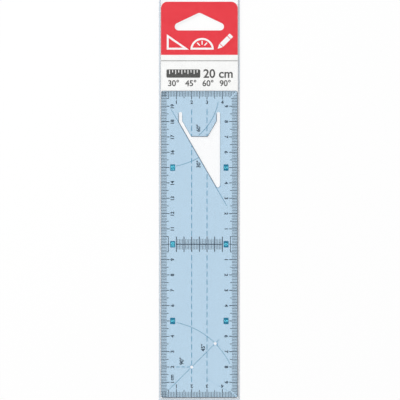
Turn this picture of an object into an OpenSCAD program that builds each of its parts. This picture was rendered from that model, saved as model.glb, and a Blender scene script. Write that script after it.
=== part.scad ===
// Twenty centimetre ruler with a set-square cut-out, in its clear hanging sleeve with a header card.
// The pack lies flat with its front up: X across the ruler, Y along it towards the hang slot, Z up.
// The origin is at the middle of the pack, on its underside.

/* [Ruler plate] */
// Length of the ruler and of its left scale
ruler_len = 200; // [180:10:260]
// Width of the ruler
ruler_w = 50; // [47:1:56]
// Thickness of the moulded plate
ruler_t = 2; // [1.5:0.1:3]
// Radius of the plate's four corners
ruler_corner_r = 1.3; // [0.6:0.1:2.5]

/* [Set-square cut-out] */
// Distance from the left edge to the cut-out
cut_left = 11.7; // [11:0.1:14]
// Distance from the right edge to the cut-out
cut_right = 11.6; // [10:0.1:13]
// Distance from the top edge down to the ends of the two narrow legs
cut_top = 13.9; // [12:0.1:16]
// Angle between the slanted edge, which points at the upper left corner, and the long edges
cut_angle = 30; // [27:1:34]
// Width of the narrow legs
leg_w = 2; // [1.5:0.1:3]
// Distance from the top edge down to the end of the tongue
tongue_reach = 30; // [26:0.5:34]
// Radius at the pointed lower end
tip_r = 1.35; // [0.8:0.05:2]

/* [Pencil holes] */
// Diameter of the two pencil-point holes
hole_d = 1.8; // [1.2:0.1:2.4]
// Distance of the lower hole from the left and bottom edges
hole_offset = 20; // [15:0.5:24]

/* [Edge scales] */
// Bare rim between the plate's edge and the start of each mark
tick_inset = 0.15; // [0.1:0.05:0.4]
// Length of a millimetre mark
mm_tick = 3.6; // [3:0.1:4.2]
// Length of a half-centimetre mark
half_tick = 4.8; // [4.3:0.1:5.2]
// Length of a centimetre mark
cm_tick = 5.4; // [5.3:0.1:7]
// Line width of millimetre marks
mm_tick_w = 0.32; // [0.15:0.01:0.4]
// Line width of half-centimetre marks
half_tick_w = 0.4; // [0.15:0.01:0.45]
// Line width of centimetre marks
cm_tick_w = 0.48; // [0.2:0.01:0.5]
// Bare gap along the mitred right-hand corners
mitre_gap = 0.6; // [0.3:0.1:1]
// Thickness of every printed layer
print_t = 0.05; // [0.03:0.01:0.1]

/* [Middle scale] */
// Distance from each long edge to the ends of the middle scale
mid_margin = 10; // [10:1:15]
// Half length of its millimetre marks
mid_tick = 3.4; // [2.5:0.1:4]
// Half length of its five millimetre marks
mid_half_tick = 5; // [4.2:0.1:6]
// Line width of its millimetre marks
mid_tick_w = 0.3; // [0.2:0.01:0.5]
// Line width of its five millimetre marks and of its base line
mid_half_tick_w = 0.55; // [0.2:0.01:0.6]
// Half length of the two brackets that frame it on the edge scales
bracket_half = 5; // [4:0.5:6]

/* [Number tabs] */
// Bare gap between a centimetre mark and its tab
tab_gap = 0.4; // [0.2:0.1:0.6]
// Width of a tab across the ruler
tab_w = 3.3; // [2.5:0.1:3.8]
// Length of a tab along the ruler
tab_len = 4.2; // [3:0.1:5]
// Corner radius of a tab
tab_corner_r = 0.4; // [0.2:0.1:0.8]
// Spacing of the tabs along the ruler
tab_step = 50; // [50:10:60]

/* [Guide lines] */
// Distance from the left edge to the first dashed guide line
guide_first = 20; // [18:0.5:22]
// Spacing of the dashed guide lines
guide_pitch = 10; // [8:0.5:10]
// Number of dashed guide lines
guide_count = 2; // [1:1:2]
// Line width of the dashes
guide_w = 0.42; // [0.2:0.02:0.5]
// Length of a dash
dash_len = 3.6; // [2:0.1:4]
// Distance from one dash to the next
dash_pitch = 5.28; // [4.5:0.02:7]
// Distance from the short edges to the ends of the guide lines
guide_end = 10.1; // [8:0.1:14]
// Bare gap where a guide line stops below the cut-out's slanted edge
guide_clear = 1.2; // [1:0.1:2]
// Bare gap where a guide line stops at the tongue or at the middle scale
guide_stop = 0.4; // [0.2:0.1:1]

/* [Angle marks] */
// Line width of the rays and arcs
angle_w = 0.28; // [0.2:0.02:0.45]
// Distance from the slanted edge to the middle of the line beside it
edge_line_offset = 0.3; // [0.25:0.01:0.45]
// Radius of the 60 degree arc
arc_60_r = 38; // [36:0.2:40]
// How far the slanted line runs past the cut-out's upper corner
slant_upper = 9.6; // [8:0.2:11]
// How far the slanted line runs past the cut-out's sharp lower end
slant_lower = 9.6; // [6:0.2:11]
// Distance from the corner to the start of the 45 degree ray
ray_start = 7.7; // [7.2:0.1:10]
// How far the 45 degree ray runs past its arc
ray_overrun = 3.7; // [2.5:0.1:5]
// Length of the dashed 90 degree line beside the lower hole
square_line = 10; // [8:0.5:11]

/* [Header card] */
// Height of the card
card_h = 57.7; // [52:0.1:64]
// Thickness of the card
card_t = 0.4; // [0.25:0.05:0.6]
// Radius of the card's two upper corners
card_corner_r = 4.3; // [2:0.1:7]
// Gap between the ruler's top edge and the card's lower edge
card_gap = 0.2; // [0.1:0.1:0.6]
// Height of the red field, from the card's top edge
red_h = 34.6; // [31:0.1:38]
// Bare gap between the red field and the thin rule
rule_gap = 3.6; // [2:0.1:5]
// Width of the thin rule
rule_w = 0.5; // [0.3:0.05:0.8]

/* [Hang slot] */
// Width of the triangular hang slot
slot_w = 32; // [26:0.5:36]
// Height of the hang slot
slot_h = 11.4; // [9:0.1:13]
// Radius of its three corners
slot_r = 2.5; // [2.2:0.1:3]
// Distance from the card's top edge to the slot's upper point
slot_drop = 7.3; // [5:0.1:10]

/* [Sleeve] */
// Thickness of the clear film
film_t = 0.15; // [0.1:0.05:0.3]
// Distance from the ruler's long edges to the sleeve's edges
side_margin = 1.45; // [1.2:0.05:2.5]
// Distance from the ruler's bottom edge to the sleeve's closed end
bottom_margin = 1.8; // [1.4:0.1:3]
// Distance from the card's top edge to the sleeve's open mouth
mouth_margin = 1.6; // [1:0.1:3]
// Clearance between the contents and the sleeve's side walls
side_clear = 0.25; // [0.15:0.05:0.4]
// Clearance of the contents to the back film and to the front film
slide_gap = 0.1; // [0.08:0.02:0.2]
// Clearance between the ruler's face and the card that lies over its path
card_lift = 0.2; // [0.15:0.05:0.4]

/* [Hidden] */
$fn = 64;
// A cutting body runs this far past the faces that it cuts
through = 1;

// Outer size of the sleeve
sleeve_w = ruler_w + 2 * side_margin;
sleeve_len = bottom_margin + ruler_len + card_gap + card_h + mouth_margin;
pocket_w = ruler_w + 2 * side_clear;

// Places along Y
sleeve_y0 = -sleeve_len / 2;
ruler_y0 = sleeve_y0 + bottom_margin;
card_y0 = ruler_y0 + ruler_len + card_gap;
slot_y0 = card_h - slot_drop - slot_h;

// Levels along Z, from the back film to the front film
print_z = film_t + slide_gap;
plate_z = print_z + print_t;
card_z = plate_z + ruler_t + card_lift;
card_print_z = card_z + card_t;
front_z = card_print_z + print_t + slide_gap;
pack_t = front_z + film_t;

// Cut-out corners, from the ruler's lower left corner
cut_x0 = cut_left;
cut_x1 = ruler_w - cut_right;
leg_top_y = ruler_len - cut_top;
shoulder_y = ruler_len - cut_left / tan(cut_angle);
tongue_x0 = cut_x0 + leg_w;
tongue_x1 = cut_x1 - leg_w;
tongue_y0 = ruler_len - tongue_reach;
tongue_shoulder_y = shoulder_y + leg_w * tan(cut_angle / 2);
tongue_inset = (tongue_shoulder_y - tongue_y0) * tan(cut_angle);
sharp_y = shoulder_y - (cut_x1 - cut_x0) / tan(cut_angle);
tip_run = tip_r / tan(cut_angle / 2);

// The 45 degree arc turns about the lower left corner and spans the ruler's width. The 30 and 60 degree arcs
// turn about the upper left corner, and the 30 degree one starts beside a number tab.
arc_45_r = ruler_w;
arc_30_r = tab_step;
// Start and end of each arc, in degrees from the X axis; the 30 degree arc ends on the slanted line
arc_30_angles = [-78.7, cut_angle - 90 - asin(edge_line_offset / arc_30_r)];
arc_60_angles = [-50, -11];
arc_45_angles = [26.3, 78];
hole_places = [[hole_offset, hole_offset], [arc_45_r, arc_45_r] / sqrt(2)];
// Bare ring that the printed lines leave around a pencil hole
hole_clear = 0.2;

// Middle scale and tabs
mid_y = ruler_len / 2;
mm_per_half = 5;
mm_per_cm = 10;
tab_x0 = tick_inset + cm_tick + tab_gap;
// A dash of a guide line that would be shorter than this is left out
dash_least = 0.8;
// Dashes of the 90 degree line
square_dash_len = 2.2;
square_dash_pitch = 3.4;

// Colours as photographed
plate_blue = [0.72, 0.82, 0.91, 0.6];
ink_dark = [0.13, 0.18, 0.26];
ink_cyan = [0.3, 0.66, 0.8];
tab_teal = [0.0, 0.55, 0.65];
card_white = [0.98, 0.98, 0.97];
card_red = [0.92, 0.26, 0.31];
rule_grey = [0.45, 0.45, 0.44];
film_clear = [0.88, 0.9, 0.92, 0.3];

// Length of the scale mark at a whole number of millimetres
function tick_len(mm) = mm % mm_per_cm == 0 ? cm_tick : mm % mm_per_half == 0 ? half_tick : mm_tick;

// Line width of the scale mark at a whole number of millimetres
function tick_w(mm) = mm % mm_per_cm == 0 ? cm_tick_w : mm % mm_per_half == 0 ? half_tick_w : mm_tick_w;

// Length left for a mark this far from a mitred corner
function mitred_len(mm, corner_gap) = min(tick_len(mm), corner_gap - mitre_gap - tick_inset);

// Height at which the slanted edge crosses a line along the ruler
function slant_y(x) = shoulder_y - (x - cut_x0) / tan(cut_angle);

// Height of the tongue's lower boundary on a line along the ruler
function tongue_floor_y(x) = max(
    tongue_y0,
    tongue_shoulder_y - (x - tongue_x0) / tan(cut_angle),
    tongue_shoulder_y - (tongue_x1 - x) / tan(cut_angle)
);

// Puts children at the ruler's lower left corner, at height z
module on_ruler(z) {
    translate([-ruler_w / 2, ruler_y0, z]) children();
}

// Puts children at the middle of the card's lower edge, at height z
module on_card(z) {
    translate([0, card_y0, z]) children();
}

// Rectangle with one corner at the origin and four round corners
module round_rect(w, len, r) {
    translate([r, 0]) square([w - 2 * r, len]);
    translate([0, r]) square([w, len - 2 * r]);
    for (x = [r, w - r], y = [r, len - r]) {
        translate([x, y]) circle(r);
    }
}

// Outline of the hang slot, centred, with its flat side on y = 0
module slot_outline() {
    lobe_x = slot_w / 2 - slot_r;
    apex = [0, slot_h - slot_r];
    lobe = [lobe_x, slot_r];
    lean = atan2(apex.y - lobe.y, lobe_x);
    shift = slot_r * [sin(lean), cos(lean)];
    polygon([
        [-lobe_x, 0], [lobe_x, 0], lobe + shift, apex + shift,
        [-shift.x, apex.y + shift.y], [-lobe_x - shift.x, lobe.y + shift.y]
    ]);
    translate(apex) circle(slot_r);
    for (side = [-1, 1]) {
        translate([side * lobe_x, slot_r]) circle(slot_r);
    }
}

// Cutting body of the hang slot through the card and both films
module slot_cut() {
    translate([0, card_y0 + slot_y0, -through])
        linear_extrude(pack_t + 2 * through) slot_outline();
}

// Clear film web of one width, over the sleeve's whole length
module film_web(w, z) {
    difference() {
        translate([-w / 2, sleeve_y0, z]) cube([w, sleeve_len, film_t]);
        slot_cut();
    }
}

module sleeve_back_film() {
    color(film_clear) film_web(sleeve_w, 0);
}

module sleeve_front_film() {
    color(film_clear) film_web(pocket_w + 2 * film_t, front_z);
}

// Seam profile: a flange welded to the back film and a wall up to the front film, with the pocket at x < 0
module seam_profile(flange) {
    square([flange, film_t]);
    square([film_t, front_z - film_t]);
}

// Seam along the right side of the pocket
module side_seam() {
    translate([pocket_w / 2, sleeve_y0 + sleeve_len, film_t])
        rotate([90, 0, 0])
            linear_extrude(sleeve_len) seam_profile(side_margin - side_clear);
}

module sleeve_left_seam() {
    color(film_clear) mirror([1, 0, 0]) side_seam();
}

module sleeve_right_seam() {
    color(film_clear) side_seam();
}

// The closed lower end, between the two side seams
module sleeve_bottom_seam() {
    color(film_clear)
        translate([-pocket_w / 2, ruler_y0 - side_clear, film_t])
            rotate([90, 0, 90])
                linear_extrude(pocket_w)
                    mirror([1, 0]) seam_profile(bottom_margin - side_clear);
}

// Outline of the header card, with square lower and round upper corners
module card_outline() {
    translate([-ruler_w / 2, 0]) {
        square([ruler_w, card_h - card_corner_r]);
        translate([card_corner_r, 0]) square([ruler_w - 2 * card_corner_r, card_h]);
    }
    for (side = [-1, 1]) {
        translate([side * (ruler_w / 2 - card_corner_r), card_h - card_corner_r]) circle(card_corner_r);
    }
}

module header_card() {
    color(card_white)
        difference() {
            on_card(card_z) linear_extrude(card_t) card_outline();
            slot_cut();
        }
}

module header_red_print() {
    color(card_red)
        difference() {
            on_card(card_print_z)
                linear_extrude(print_t)
                    difference() {
                        card_outline();
                        translate([-ruler_w, -through]) square([2 * ruler_w, card_h - red_h + through]);
                    }
            slot_cut();
        }
}

module header_rule_print() {
    color(rule_grey)
        on_card(card_print_z)
            translate([-ruler_w / 2, card_h - red_h - rule_gap - rule_w, 0])
                cube([ruler_w, rule_w, print_t]);
}

// The set-square cut-out, with its rounded tip set on the tangent points of the two long edges
module cut_outline() {
    polygon([
        [cut_x0, leg_top_y], [tongue_x0, leg_top_y],
        [tongue_x0, tongue_shoulder_y], [tongue_x0 + tongue_inset, tongue_y0],
        [tongue_x1 - tongue_inset, tongue_y0], [tongue_x1, tongue_shoulder_y],
        [tongue_x1, leg_top_y], [cut_x1, leg_top_y],
        [cut_x1, sharp_y + tip_run],
        [cut_x1 - tip_run * sin(cut_angle), sharp_y + tip_run * cos(cut_angle)],
        [cut_x0, shoulder_y]
    ]);
    translate([cut_x1 - tip_r, sharp_y + tip_run]) circle(tip_r);
}

module ruler_plate() {
    color(plate_blue)
        on_ruler(plate_z)
            difference() {
                linear_extrude(ruler_t) round_rect(ruler_w, ruler_len, ruler_corner_r);
                translate([0, 0, -through]) linear_extrude(ruler_t + 2 * through) cut_outline();
                for (place = hole_places) {
                    translate([place.x, place.y, -through])
                        cylinder(d = hole_d, h = ruler_t + 2 * through);
                }
            }
}

// Prints flat shapes on the underside of the plate
module printed(ink) {
    color(ink) on_ruler(print_z) linear_extrude(print_t) children();
}

// One mark across the ruler, centred on y, that starts at x0
module mark(x0, y, len, w) {
    translate([x0, y - w / 2]) square([len, w]);
}

// One line between two points
module line(from, to, w) {
    run = to - from;
    translate(from)
        rotate(atan2(run.y, run.x))
            translate([0, -w / 2]) square([norm(run), w]);
}

// One arc about the origin, from one angle to a wider one, spanning less than half a turn
module arc(r, angles, w) {
    reach = 2 * r;
    middle = (angles[0] + angles[1]) / 2;
    intersection() {
        difference() {
            circle(r + w / 2);
            circle(r - w / 2);
        }
        polygon([
            [0, 0],
            reach * [cos(angles[0]), sin(angles[0])],
            reach * [cos(middle), sin(middle)],
            reach * [cos(angles[1]), sin(angles[1])]
        ]);
    }
}

// Line along an edge scale that joins its marks beside the middle scale
module bracket() {
    translate([tick_inset + half_tick - half_tick_w, mid_y - bracket_half])
        square([half_tick_w, 2 * bracket_half]);
}

module left_scale_print() {
    printed(ink_dark) {
        for (mm = [1:ruler_len - 1]) {
            mark(tick_inset, mm, tick_len(mm), tick_w(mm));
        }
        bracket();
    }
}

// The right scale counts both ways from its middle, and its marks shorten towards the mitred corners
module right_scale_print() {
    printed(ink_dark)
        translate([ruler_w, 0]) mirror([1, 0]) {
            for (mm = [1:ruler_len - 1]) {
                len = mitred_len(mm, min(mm, ruler_len - mm));
                if (len > 0) {
                    mark(tick_inset, mm, len, tick_w(mm));
                }
            }
            bracket();
        }
}

// Marks along the lower edge: mitred on the right, and broken where the left scale's marks cross them
module short_edge_scale() {
    difference() {
        for (mm = [1:ruler_w - 1]) {
            len = mitred_len(mm, ruler_w - mm);
            if (len > 0) {
                translate([mm - tick_w(mm) / 2, tick_inset]) square([tick_w(mm), len]);
            }
        }
        for (mm = [1:mm_per_cm]) {
            mark(tick_inset, mm, tick_len(mm), tick_w(mm));
        }
    }
}

module bottom_scale_print() {
    printed(ink_dark) short_edge_scale();
}

module top_scale_print() {
    printed(ink_dark) translate([0, ruler_len]) mirror([0, 1]) short_edge_scale();
}

module middle_scale_print() {
    printed(ink_dark) {
        mark(mid_margin, mid_y, ruler_w - 2 * mid_margin, mid_half_tick_w);
        for (mm = [ceil(mid_margin):ruler_w - mid_margin]) {
            long = mm % mm_per_half == 0;
            half = long ? mid_half_tick : mid_tick;
            w = long ? mid_half_tick_w : mid_tick_w;
            translate([mm - w / 2, mid_y - half]) square([w, 2 * half]);
        }
    }
}

module number_tabs_print() {
    printed(tab_teal)
        for (y = [tab_step:tab_step:ruler_len - tab_len], x = [tab_x0, ruler_w - tab_x0 - tab_w]) {
            translate([x, y - tab_len / 2]) round_rect(tab_w, tab_len, tab_corner_r);
        }
}

// What shows, between two heights, of the one row of dashes that runs along the whole ruler
module dashes(x, from, to) {
    for (y = [guide_end:dash_pitch:ruler_len - guide_end - dash_len]) {
        low = max(y, from);
        len = min(y + dash_len, to) - low;
        if (len >= dash_least) {
            translate([x - guide_w / 2, low]) square([guide_w, len]);
        }
    }
}

// Dashed guide lines, broken at the middle scale and at the cut-out, and the dashed 90 degree line
module guide_lines() {
    mid_gap = mid_half_tick + guide_stop;
    for (i = [0:guide_count - 1]) {
        x = guide_first + i * guide_pitch;
        dashes(x, 0, mid_y - mid_gap);
        dashes(x, mid_y + mid_gap, slant_y(x) - guide_clear);
        dashes(x, tongue_floor_y(x) + guide_stop, ruler_len);
    }
    for (x = [hole_offset - square_line:square_dash_pitch:hole_offset - square_dash_len]) {
        mark(x, hole_offset, square_dash_len, guide_w);
    }
}

// Clear rings around the pencil holes
module hole_rings() {
    for (place = hole_places) {
        translate(place) circle(d = hole_d + 2 * hole_clear);
    }
}

module guide_lines_print() {
    printed(ink_cyan)
        difference() {
            guide_lines();
            hole_rings();
        }
}

// The slanted line runs along the cut-out's edge and past both of its ends
module slanted_line() {
    down = [sin(cut_angle), -cos(cut_angle)];
    aside = [-cos(cut_angle), -sin(cut_angle)] * edge_line_offset;
    upper_end = [cut_x0, shoulder_y] + aside - down * slant_upper;
    lower_end = [cut_x1, sharp_y] + aside + down * slant_lower;
    line(upper_end, lower_end, angle_w);
}

// Rays and arcs of the 30, 60 and 45 degree marks, broken where the guide lines cross them
module angle_marks_print() {
    corner_ray = [1, 1] / sqrt(2);
    printed(ink_cyan)
        difference() {
            union() {
                slanted_line();
                translate([0, ruler_len]) {
                    arc(arc_30_r, arc_30_angles, angle_w);
                    arc(arc_60_r, arc_60_angles, angle_w);
                }
                arc(arc_45_r, arc_45_angles, angle_w);
                line(corner_ray * ray_start, corner_ray * (arc_45_r + ray_overrun), angle_w);
            }
            hole_rings();
            guide_lines();
        }
}

sleeve_back_film();
sleeve_front_film();
sleeve_left_seam();
sleeve_right_seam();
sleeve_bottom_seam();
header_card();
header_red_print();
header_rule_print();
ruler_plate();
left_scale_print();
right_scale_print();
top_scale_print();
bottom_scale_print();
middle_scale_print();
number_tabs_print();
guide_lines_print();
angle_marks_print();
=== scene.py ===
"""Looks of a clear blue ruler with a set-square cut-out, in its film sleeve with a header card.

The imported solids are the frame. The film, its welds, the numerals and the card's pictograms are made here
as meshes, and every surface gets its finish. Lengths are in metres: sizes are written as millimetres * MM.
"""

import logging
import math
from collections.abc import Callable, Mapping, Sequence
from dataclasses import dataclass, field
from enum import Enum
from typing import Any, Union

import bmesh
import bpy
from mathutils import Matrix, Vector, geometry, noise


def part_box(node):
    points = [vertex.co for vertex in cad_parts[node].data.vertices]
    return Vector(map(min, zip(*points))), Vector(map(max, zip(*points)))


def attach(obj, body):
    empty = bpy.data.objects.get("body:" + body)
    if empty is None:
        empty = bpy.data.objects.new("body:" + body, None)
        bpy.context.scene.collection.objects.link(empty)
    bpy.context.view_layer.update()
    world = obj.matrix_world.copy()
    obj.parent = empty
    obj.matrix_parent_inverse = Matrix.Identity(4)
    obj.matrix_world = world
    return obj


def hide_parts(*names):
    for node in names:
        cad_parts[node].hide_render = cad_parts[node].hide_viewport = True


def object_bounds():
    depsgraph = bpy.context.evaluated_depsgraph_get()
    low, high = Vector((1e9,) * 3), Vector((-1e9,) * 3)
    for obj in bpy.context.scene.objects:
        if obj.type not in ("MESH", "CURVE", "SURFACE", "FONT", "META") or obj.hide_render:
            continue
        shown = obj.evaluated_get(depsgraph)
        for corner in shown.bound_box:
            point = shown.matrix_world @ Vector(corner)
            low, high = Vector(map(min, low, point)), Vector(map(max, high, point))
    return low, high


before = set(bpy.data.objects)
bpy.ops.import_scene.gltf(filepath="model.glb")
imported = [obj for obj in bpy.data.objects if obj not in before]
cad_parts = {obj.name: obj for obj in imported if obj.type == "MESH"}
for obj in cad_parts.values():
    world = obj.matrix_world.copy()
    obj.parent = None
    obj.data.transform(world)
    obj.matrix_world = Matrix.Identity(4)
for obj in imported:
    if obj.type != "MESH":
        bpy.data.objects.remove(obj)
CAD_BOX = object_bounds()

LOG = logging.getLogger("ruler_pack")
MM = 0.001
# Height of a digit of the built-in font, at a font size of 1
DIGIT_SHARE = 0.69
# Corners that lie closer than this are joined
JOIN_DISTANCE = 0.001 * MM
# A fill keeps the triangles within its loops, and joins corners this close, in millimetres
FILL_INSIDE = 1
FILL_JOIN = 1e-5
# Steps of a round corner of a printed shape
CORNER_STEPS = 5
# An edge over this angle in degrees stays sharp
SHARP_ANGLE = 40.0
# How steeply a clear surface mirrors more towards a grazing angle
GRAZE_POWER = 5.0

Colour = tuple[float, float, float]
Triple = tuple[float, float, float]
Point = tuple[float, float]
Span = tuple[float, float]
Operand = Union["Wire", float, int, tuple, None]


class Wire:
    """An output socket of a node, which takes part in shader expressions."""

    def __init__(self, graph: "NodeGraph", socket: bpy.types.NodeSocket) -> None:
        """Keeps the socket and the graph that new nodes go to."""
        self.graph = graph
        self.socket = socket

    def __add__(self, other: Operand) -> "Wire":
        """Sum of two values."""
        return self.graph.math("ADD", self, other)

    def __rsub__(self, other: Operand) -> "Wire":
        """Difference, with this value taken away from another."""
        return self.graph.math("SUBTRACT", other, self)

    def __mul__(self, other: Operand) -> "Wire":
        """Product of two values."""
        return self.graph.math("MULTIPLY", self, other)

    def __pow__(self, other: Operand) -> "Wire":
        """Power of a value."""
        return self.graph.math("POWER", self, other)

    def __abs__(self) -> "Wire":
        """Size of a value without its sign."""
        return self.graph.math("ABSOLUTE", self, None)

    __radd__ = __add__
    __rmul__ = __mul__

    def clamped(self) -> "Wire":
        """The value, held between 0 and 1."""
        return self.graph.add("ShaderNodeClamp", {}, {"Value": self})

    def between(self, low: float, high: float) -> "Wire":
        """A value from 0 to 1, moved into the range from low to high."""
        return low + (high - low) * self

    def ramp(self, low: float, high: float) -> "Wire":
        """A smooth step from 0 to 1, while the value goes from low to high."""
        sockets = {"Value": self, "From Min": low, "From Max": high}
        return self.graph.add("ShaderNodeMapRange", {"interpolation_type": "SMOOTHSTEP"}, sockets)


class NodeGraph:
    """A node tree that is emptied and filled again through a few short calls."""

    def __init__(self, tree: bpy.types.NodeTree) -> None:
        """Empties the tree."""
        self.tree = tree
        tree.nodes.clear()

    def add(
        self,
        kind: str,
        settings: Mapping[str, Any],
        sockets: Mapping[Union[str, int], Operand],
        output: Union[str, int] = 0,
    ) -> Wire:
        """Adds one node.

        Args:
            kind: Blender's type name of the node.
            settings: Properties of the node, which are set first.
            sockets: Values or links of its input sockets, by name or number.
            output: Name or number of the output socket that is wanted.

        Returns:
            The output socket, or a wire without one for a node that has none.
        """
        node = self.tree.nodes.new(kind)
        for name, value in settings.items():
            setattr(node, name, value)
        for name, value in sockets.items():
            if isinstance(value, Wire):
                self.tree.links.new(value.socket, node.inputs[name])
            elif value is not None:
                node.inputs[name].default_value = value
        return Wire(self, node.outputs[output] if len(node.outputs) else None)

    def math(self, operation: str, first: Operand, second: Operand) -> Wire:
        """One Math node on two values."""
        return self.add("ShaderNodeMath", {"operation": operation}, {0: first, 1: second})

    def source(self, kind: str, output: str) -> Wire:
        """One output of a node that has no inputs."""
        return self.add(f"ShaderNode{kind}", {}, {}, output)

    def vector(self, operation: str, first: Wire, second: Operand, output: str) -> Wire:
        """One Vector Math node on two vectors."""
        return self.add("ShaderNodeVectorMath", {"operation": operation}, {0: first, 1: second}, output)

    def blend(self, share: Operand, first: Union[Wire, Colour], second: Union[Wire, Colour]) -> Wire:
        """Blends two colours by a share of the second."""
        ends = [colour if isinstance(colour, Wire) else (*colour, 1.0) for colour in (first, second)]
        return self.add("ShaderNodeMix", {"data_type": "RGBA"}, {0: share, 6: ends[0], 7: ends[1]}, 2)

    def place(self, stretch: Triple = (1.0, 1.0, 1.0)) -> Wire:
        """The object's own coordinates, multiplied by a stretch along each axis."""
        return self.vector("MULTIPLY", self.source("TexCoord", "Object"), stretch, "Vector")

    def distance(self, x: float, y: float) -> Wire:
        """How far a point lies from an upright line at a place of the object, in metres."""
        return self.vector("DISTANCE", self.place((1.0, 1.0, 0.0)), (x, y, 0.0), "Value")

    def noise(self, where: Wire, size: float, detail: float = 3.0) -> Wire:
        """Soft noise from 0 to 1, with patches of a size in metres and some finer octaves."""
        return self.add("ShaderNodeTexNoise", {}, {"Vector": where, "Scale": 1.0 / size, "Detail": detail})

    def upright(self) -> Wire:
        """How level a face lies: 1 on a flat top or underside, 0 on a wall."""
        normal = self.source("NewGeometry", "True Normal")
        return abs(self.add("ShaderNodeSeparateXYZ", {}, {"Vector": normal}, "Z"))

    def leaning(self, side: Triple) -> Wire:
        """How far a face leans towards a side, from -1 to 1, alike from outside and inside."""
        normal, inner = (self.source("NewGeometry", name) for name in ("True Normal", "Backfacing"))
        return self.vector("DOT_PRODUCT", normal, side, "Value") * (1.0 - 2.0 * inner)

    def mirror_share(self, head_on: float, normal: Wire) -> Wire:
        """Share of light that a clear surface mirrors: as given head on, rising to 1 at a grazing angle."""
        facing = self.add("ShaderNodeLayerWeight", {}, {"Normal": normal}, "Facing")
        return (facing**GRAZE_POWER).between(head_on, 1.0)

    def shown_rays(self) -> Wire:
        """1 for rays by which the picture shows the background, straight or through clear material."""
        camera, through = (self.source("LightPath", f"Is {kind} Ray") for kind in ("Camera", "Transmission"))
        return (camera + through).clamped()

    def bump(self, height: Wire, distance: float) -> Wire:
        """A normal that follows a height of up to the given distance."""
        return self.add("ShaderNodeBump", {}, {"Height": height, "Distance": distance, "Strength": 1.0})

    def mix(self, share: Operand, first: Wire, second: Wire) -> Wire:
        """Mixes two shaders by a share of the second."""
        return self.add("ShaderNodeMixShader", {}, {0: share, 1: first, 2: second})

    def principled(self, sockets: Mapping[Union[str, int], Operand]) -> Wire:
        """One Principled shader."""
        return self.add("ShaderNodeBsdfPrincipled", {}, sockets)


@dataclass(frozen=True)
class Finish:
    """A surface finish, whose material is made once and shared."""

    name: str

    def material(self) -> bpy.types.Material:
        """Makes the finish's material on first use.

        Returns:
            The material.
        """
        found = bpy.data.materials.get(self.name)
        if found is not None:
            return found
        made = bpy.data.materials.new(self.name)
        made.use_nodes = True
        graph = NodeGraph(made.node_tree)
        graph.add("ShaderNodeOutputMaterial", {}, {"Surface": self.surface(graph)})
        return made

    def surface(self, graph: NodeGraph) -> Wire:
        """Adds the finish's nodes to a graph and returns its shader."""
        raise NotImplementedError

    def dress(self, piece: bpy.types.Object) -> None:
        """Gives a piece this finish in place of any other."""
        piece.data.materials.clear()
        piece.data.materials.append(self.material())


@dataclass(frozen=True)
class PrintedInk(Finish):
    """Printed ink that lies a little uneven on its base."""

    colour: Colour
    thin_colour: Colour
    patch: float = 1.4 * MM
    patch_edge: Span = (0.35, 0.7)
    grain: float = 0.12 * MM
    relief: float = 0.004 * MM
    rough: Span = (0.38, 0.62)
    shine: float = 0.3

    def surface(self, graph: NodeGraph) -> Wire:
        """Mottled colour, with a fine grain in gloss and relief.

        Args:
            graph: Where the nodes go.

        Returns:
            The shader.
        """
        where = graph.place()
        mottle = graph.noise(where, self.patch).ramp(*self.patch_edge)
        grain = graph.noise(where, self.grain, detail=2.0)
        return graph.principled({
            "Base Color": graph.blend(mottle, self.colour, self.thin_colour),
            "Roughness": grain.between(*self.rough),
            "Specular IOR Level": self.shine,
            "Normal": graph.bump(grain, self.relief),
        })


@dataclass(frozen=True)
class CoatedCard(Finish):
    """White coated board with a fibrous, greyer core along its cut edges."""

    colour: Colour = (0.93, 0.93, 0.915)
    shade_colour: Colour = (0.885, 0.885, 0.872)
    core_colour: Colour = (0.6, 0.58, 0.54)
    cloud: float = 7.0 * MM
    cloud_edge: Span = (0.4, 0.75)
    fibre: float = 0.35 * MM
    fibre_stretch: Triple = (1.0, 0.25, 1.0)
    fibre_share: float = 0.4
    cut_edge: Span = (0.3, 0.8)
    relief: float = 0.006 * MM
    rough: Span = (0.45, 0.65)
    shine: float = 0.25

    def surface(self, graph: NodeGraph) -> Wire:
        """Cloudy white faces with fibres, and a grey core where the board is cut.

        Args:
            graph: Where the nodes go.

        Returns:
            The shader.
        """
        fibres = graph.noise(graph.place(self.fibre_stretch), self.fibre, detail=4.0)
        cloud = graph.noise(graph.place(), self.cloud) * (1.0 - self.fibre_share) + fibres * self.fibre_share
        face = graph.blend(cloud.ramp(*self.cloud_edge), self.colour, self.shade_colour)
        cut = 1.0 - graph.upright().ramp(*self.cut_edge)
        return graph.principled({
            "Base Color": graph.blend(cut, face, self.core_colour),
            "Roughness": fibres.between(*self.rough),
            "Specular IOR Level": self.shine,
            "Normal": graph.bump(fibres, self.relief),
        })


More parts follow.
